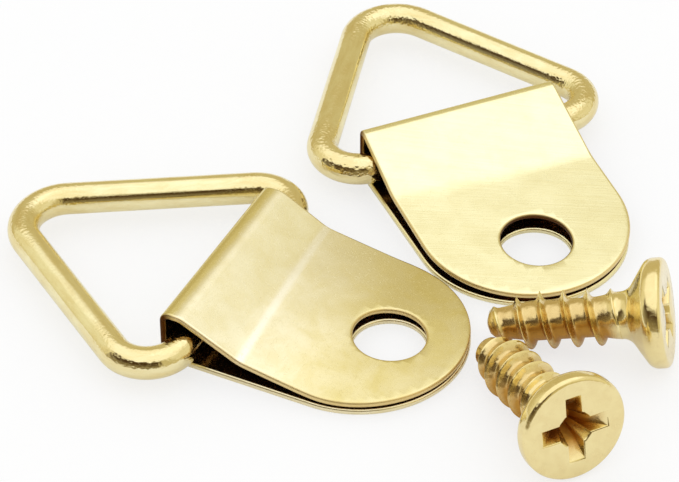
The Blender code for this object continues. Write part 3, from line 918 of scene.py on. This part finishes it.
def roll_thread(name):
    """Roll the thread: one pitch's outline wound up round the axis, then fitted to shank and point."""
    turns = round((SCREW_LENGTH - NECK_END) / PITCH) + 3
    low = -(SCREW_LENGTH + 2 * PITCH)
    low -= (low + PITCH / 2 + CREST_DEPTH) % PITCH
    bpy.ops.object.select_all(action="DESELECT")
    bpy.ops.mesh.primitive_plane_add(size=2 * MM)
    thread = bpy.context.object
    thread.name = name
    bpy.ops.object.mode_set(mode="EDIT")
    bpy.ops.mesh.select_mode(type="VERT")
    bpy.ops.mesh.select_all(action="SELECT")
    bpy.ops.mesh.merge(type="CENTER")
    bpy.ops.transform.translate(value=(ROOT_RADIUS, 0, low))
    for (before, low_share), (after, high_share) in zip(RIDGE_SHARES, RIDGE_SHARES[1:]):
        step = ((high_share - low_share) * (CREST_RADIUS - ROOT_RADIUS), 0, (after - before) * PITCH)
        bpy.ops.mesh.extrude_vertices_move(TRANSFORM_OT_translate={"value": step})
    bpy.ops.object.mode_set(mode="OBJECT")
    wind = thread.modifiers.new("wind", "SCREW")
    wind.axis = "Z"
    wind.angle = 2 * pi
    wind.screw_offset = PITCH
    wind.iterations = turns + 1
    wind.steps = TURN_STEPS
    wind.render_steps = TURN_STEPS
    wind.use_smooth_shade = True
    apply_modifiers(thread)
    bpy.ops.object.mode_set(mode="EDIT")
    bpy.ops.mesh.select_all(action="SELECT")
    bpy.ops.mesh.remove_doubles(threshold=THREAD_WELD)
    for depth, outwards in ((NECK_END, 1), (TAPER_END, -1)):
        bpy.ops.mesh.select_all(action="SELECT")
        bpy.ops.mesh.bisect(
            plane_co=(0, 0, -depth), plane_no=(0, 0, outwards), clear_outer=True, threshold=CUT_NEARNESS)
    bpy.ops.object.mode_set(mode="OBJECT")
    # Painted shade: the thread's roots are painted deeper orange.
    keep_share(thread, "deep_tone_and_painted_shade", lambda point: (
        ease(*ROOT_SETTLES, -point.z) * (1 - ease(*ROOT_SHADE_EDGE, thread_height(point))) * ROOT_SHADE))
    keep_share(thread, "rolled", lambda point: ease(NECK_END, THREAD_GROWS[1], -point.z))
    for vertex in thread.data.vertices:
        depth = -vertex.co.z
        height = thread_height(vertex.co)
        taper = max(0.0, (depth - TAPER_START) / (TAPER_END - TAPER_START))
        root = SHANK_RADIUS + (ROOT_RADIUS - SHANK_RADIUS) * ease(*ROOT_SETTLES, depth)
        root += (TIP_ROOT_RADIUS - ROOT_RADIUS) * taper
        crest = CREST_RADIUS + (TIP_CREST_RADIUS - CREST_RADIUS) * taper
        radius = root + max(0.0, crest - root) * height * ease(*THREAD_GROWS, depth)
        vertex.co.xy *= radius / vertex.co.xy.length
    select_edges(thread, lambda first, second: max(first.z, second.z) < LEVEL_NEARNESS - TAPER_END)
    for length_share, narrowing in POINT_STEPS:
        bpy.ops.mesh.extrude_region_move(
            TRANSFORM_OT_translate={"value": (0, 0, (TAPER_END - SCREW_LENGTH) * length_share)})
        bpy.ops.transform.resize(value=(narrowing, narrowing, 1))
    bpy.ops.mesh.edge_face_add()
    bpy.ops.object.mode_set(mode="OBJECT")
    return thread


def make_screw():
    """Make one screw, standing head up, with the middle of its head's face at the origin."""
    screw = make_head("screw_rolled")
    punch_recess(screw)
    # Painted shade: the recess is painted deeper orange below the face, fading out towards the rim.
    keep_share(screw, "deep_tone_and_painted_shade", lambda point: (
        ease(*RECESS_SHADE_START, -point.z) * (1 - ease(*RECESS_SHADE_FADE, point.xy.length))
        if point.z > -RECESS_SHADE_END else 0.0))
    thread = roll_thread("screw_thread")
    bpy.ops.object.select_all(action="DESELECT")
    thread.select_set(True)
    screw.select_set(True)
    bpy.context.view_layer.objects.active = screw
    bpy.ops.object.join()
    select_edges(screw, lambda first, second: all(
        abs(point.z + NECK_END) < LEVEL_NEARNESS for point in (first, second)))
    bpy.ops.mesh.bridge_edge_loops()
    bpy.ops.mesh.select_all(action="SELECT")
    bpy.ops.mesh.normals_make_consistent(inside=False)
    bpy.ops.object.mode_set(mode="OBJECT")
    keep_blank(screw)
    bpy.ops.object.shade_smooth_by_angle(angle=radians(45))
    return screw


def screw_brass(name, start):
    """Bright yellow plate, with soft dents from tumbling, and a deeper orange painted as shade in the recess,
    in the roots and on the side that faces down.
    """
    material, tree, shader, place = start_brass(name + "_brass", start)
    deep_tone_and_painted_shade = sum_of(tree, share_node(tree, "deep_tone_and_painted_shade"), share_node(tree, "underside_shade"))
    bumps = place_group(tree, dents, Place=place, Size=SCREW_DENT)["Height"]
    marks = place_group(tree, scratches, Place=place, Scratch=SCRATCH)["Share"]
    bumps = product(tree, bumps, between(tree, share_node(tree, "rolled"), 1, THREAD_RELIEF_SHARE))
    height = sum_of(tree, bumps, product(tree, marks, SCREW_SCRATCH_DEPTH))
    plate = place_group(
        tree, brass_plate, Place=place, Cloud_Size=SCREW_CLOUD, Cloud_Share=SCREW_CLOUD_SHARE,
        Plate=SCREW_COLOUR, Deep_Plate=SCREW_DEEP_AND_SHADE_COLOUR, Deep_Share=deep_tone_and_painted_shade, Scratches=marks,
        Roughness=SCREW_ROUGHNESS)
    roughness = sum_of(tree, plate["Roughness"], product(tree, deep_tone_and_painted_shade, DEEP_DULLNESS))
    finish_brass(tree, shader, height, SCREW_RELIEF, plate["Colour"], roughness)
    return material


def screw_place(lie):
    """Return the frame of a screw that lies with its head's face at one place and points along a heading."""
    heading = radians(lie["heading"])
    along = Vector((cos(heading) * cos(SCREW_DIP), sin(heading) * cos(SCREW_DIP), -sin(SCREW_DIP)))
    upright = along.to_track_quat("-Z", "Y").to_matrix().to_4x4()
    return Matrix.Translation(lie["head"]) @ upright @ Matrix.Rotation(radians(lie["turn"]), 4, "Z")


def keep_underside_shade(screw):
    """Keep how far the thread faces down where the screw lies, as painted shade that makes the plate browner
    there.
    """
    rolled = [kept.value for kept in screw.data.attributes["rolled"].data]
    underside_shade = screw.data.attributes.new("underside_shade", "FLOAT", "POINT")
    down = Vector(UNDER_SIDE)
    for kept, thread, vertex in zip(underside_shade.data, rolled, screw.data.vertices):
        kept.value = UNDER_SHADE * thread * ease(*UNDER_EDGE, vertex.normal.dot(down))


plain_screw = make_screw()
for name, start in (("front_screw", (0, 0, 0)), ("rear_screw", (0.009, 0.021, 0.003))):
    screw = own_copy(plain_screw, name + "_rolled")
    settle(screw, screw_place(SCREWS[name]))
    # Painted shade on the side of the thread that faces down.
    keep_underside_shade(screw)
    screw.data.materials.append(screw_brass(name, start))
    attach(screw, name)
    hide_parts(name)
bpy.data.objects.remove(plain_screw)


# The table: a plain white board, far larger than the set. The camera sees it nearly white, with a soft
# shadow under the set. The metal mirrors more of that shadow, which gives the undersides their depth.
FLOOR_SIZE = 4.0
FLOOR_COLOUR = (0.985, 0.985, 0.98, 1.0)
FLOOR_GRAIN_COLOUR = (0.965, 0.965, 0.96, 1.0)
FLOOR_GRAIN_SCALE = 900.0
FLOOR_ROUGHNESS = 0.9
SHADOW_SHARE = 0.3
MIRRORED_SHADOW_SHARE = 0.75

bpy.ops.object.select_all(action="DESELECT")
bpy.ops.mesh.primitive_plane_add(size=FLOOR_SIZE)
floor = bpy.context.object
floor.name = "floor"
paint = bpy.data.materials.new("floor_white")
paint.use_nodes = True
tree = paint.node_tree
board = tree.nodes["Principled BSDF"]
board.inputs["Roughness"].default_value = FLOOR_ROUGHNESS
board.inputs["Specular IOR Level"].default_value = 0.0
grain = add_node(tree, "ShaderNodeTexNoise", Vector=add_node(tree, "ShaderNodeTexCoord").outputs["Object"],
                 Scale=FLOOR_GRAIN_SCALE, Detail=2.0)
grained = mixed(tree, grain.outputs[0], FLOOR_COLOUR, FLOOR_GRAIN_COLOUR)
tree.links.new(grained, board.inputs["Base Color"])
seen_white = add_node(tree, "ShaderNodeEmission", Color=(1, 1, 1, 1), Strength=1.0)
ray = add_node(tree, "ShaderNodeLightPath").outputs
mirrored = sum_of(tree, ray["Is Glossy Ray"], ray["Is Transmission Ray"])
seen = sum_of(tree, product(tree, ray["Is Camera Ray"], 1 - SHADOW_SHARE),
              product(tree, mirrored, 1 - MIRRORED_SHADOW_SHARE))
lifted = add_node(tree, "ShaderNodeMixShader", Fac=seen,
                  i1=board.outputs[0], i2=seen_white.outputs[0])
tree.links.new(lifted.outputs[0], tree.nodes["Material Output"].inputs["Surface"])
floor.data.materials.append(paint)


# The studio: a white tent that lights the set evenly. In the metal it shows as a bright ceiling with one
# brighter lamp at the back right, warm walls that are lighter at both sides, and the dark room behind
# the camera, which is darkest just under the ceiling.
TENT_LIGHT = (1.0, 1.0, 1.0, 1.0)
BACK_WALL_COLOUR = (0.65, 0.57, 0.34, 1.0)
SIDE_WALL_COLOUR = (0.91, 0.87, 0.68, 1.0)
CEILING_COLOUR = (1.22, 1.21, 1.16, 1.0)
LAMP_COLOUR = (1.35, 1.35, 1.35, 1.0)
ROOM_COLOUR = (0.06, 0.028, 0.004, 1.0)
SIDE_WALL_EDGE = (0.9, 1.1)
SIDE_WALL_SPREAD = 0.5
CEILING_EDGE = (0.61, 0.79)
CEILING_SLANT = -0.05
LAMP_HEADING = radians(50)
LAMP_RISE = radians(66)
LAMP_EDGE = (cos(radians(23)), cos(radians(13)))
ROOM_HEADING = radians(208)
ROOM_EDGE = (cos(radians(60)), cos(radians(50)))
ROOM_TOP = (sin(radians(37)), sin(radians(46)))
ROOM_FLOOR_SHARE = 0.55

world = bpy.data.worlds.new("studio")
world.use_nodes = True
bpy.context.scene.world = world
tree = world.node_tree
tree.nodes.clear()
direction = add_node(tree, "ShaderNodeTexCoord").outputs["Generated"]
parts = add_node(tree, "ShaderNodeSeparateXYZ", Vector=direction).outputs


def soft_step(tree, value, low, high):
    """Return a share that goes softly from 0 at low to 1 at high."""
    return add_node(tree, "ShaderNodeMapRange", {"interpolation_type": "SMOOTHSTEP"},
                    i0=value, i1=low, i2=high).outputs[0]


level = add_node(tree, "ShaderNodeVectorMath", {"operation": "MULTIPLY"}, i0=direction, i1=(1, 1, 0))
level = add_node(tree, "ShaderNodeVectorMath", {"operation": "NORMALIZE"}, i0=level.outputs[0]).outputs[0]
across = add_node(tree, "ShaderNodeSeparateXYZ", Vector=level).outputs["X"]
sideways = add_node(tree, "ShaderNodeMath", {"operation": "ABSOLUTE"}, i0=across).outputs[0]
spread = sum_of(tree, sideways, product(tree, parts["Z"], SIDE_WALL_SPREAD))
side_walls = soft_step(tree, spread, *SIDE_WALL_EDGE)
slant = product(tree, parts["X"], CEILING_SLANT)
ceiling = soft_step(tree, sum_of(tree, parts["Z"], slant), *CEILING_EDGE)
lamp_middle = (sin(LAMP_HEADING) * cos(LAMP_RISE), cos(LAMP_HEADING) * cos(LAMP_RISE), sin(LAMP_RISE))
to_lamp = add_node(tree, "ShaderNodeVectorMath", {"operation": "DOT_PRODUCT"},
                   i0=direction, i1=lamp_middle)
lamp = soft_step(tree, to_lamp.outputs["Value"], *LAMP_EDGE)
room_middle = (sin(ROOM_HEADING), cos(ROOM_HEADING), 0)
to_room = add_node(tree, "ShaderNodeVectorMath", {"operation": "DOT_PRODUCT"}, i0=level, i1=room_middle)
behind = soft_step(tree, to_room.outputs["Value"], *ROOM_EDGE)
below = between(tree, soft_step(tree, parts["Z"], *ROOM_TOP), 1, 0)
dark = between(tree, soft_step(tree, parts["Z"], 0, ROOM_TOP[0]), ROOM_FLOOR_SHARE, 1)
colour = mixed(tree, side_walls, BACK_WALL_COLOUR, SIDE_WALL_COLOUR)
colour = mixed(tree, ceiling, colour, CEILING_COLOUR)
colour = mixed(tree, lamp, colour, LAMP_COLOUR)
colour = mixed(tree, product(tree, behind, product(tree, below, dark)), colour, ROOM_COLOUR)
glossy = add_node(tree, "ShaderNodeLightPath").outputs["Is Glossy Ray"]
tent = add_node(tree, "ShaderNodeBackground", Color=TENT_LIGHT, Strength=1.0)
studio = add_node(tree, "ShaderNodeBackground", Color=colour, Strength=1.0)
light = add_node(tree, "ShaderNodeMixShader", Fac=glossy, i1=tent.outputs[0], i2=studio.outputs[0])
add_node(tree, "ShaderNodeOutputWorld", Surface=light.outputs[0])


# The camera, at the height and distance from which the set looks as it does in the photograph. It looks
# along the set's Y axis, and everything is in focus.
CAMERA_ELEVATION = radians(39.6)
CAMERA_DISTANCE = 189.77 * MM
CAMERA_AIM = (0.204 * MM, -0.166 * MM, 0)
CAMERA_LENS = 160.74

camera = bpy.data.objects.new("camera", bpy.data.cameras.new("camera"))
bpy.context.scene.collection.objects.link(camera)
camera.data.lens = CAMERA_LENS
camera.data.sensor_fit = "HORIZONTAL"
camera.data.clip_start = 0.01
camera.rotation_euler = (pi / 2 - CAMERA_ELEVATION, 0, 0)
away = Vector((0, -cos(CAMERA_ELEVATION), sin(CAMERA_ELEVATION)))
camera.location = Vector(CAMERA_AIM) + CAMERA_DISTANCE * away
bpy.context.scene.camera = camera
bpy.context.scene.view_settings.view_transform = "Standard"
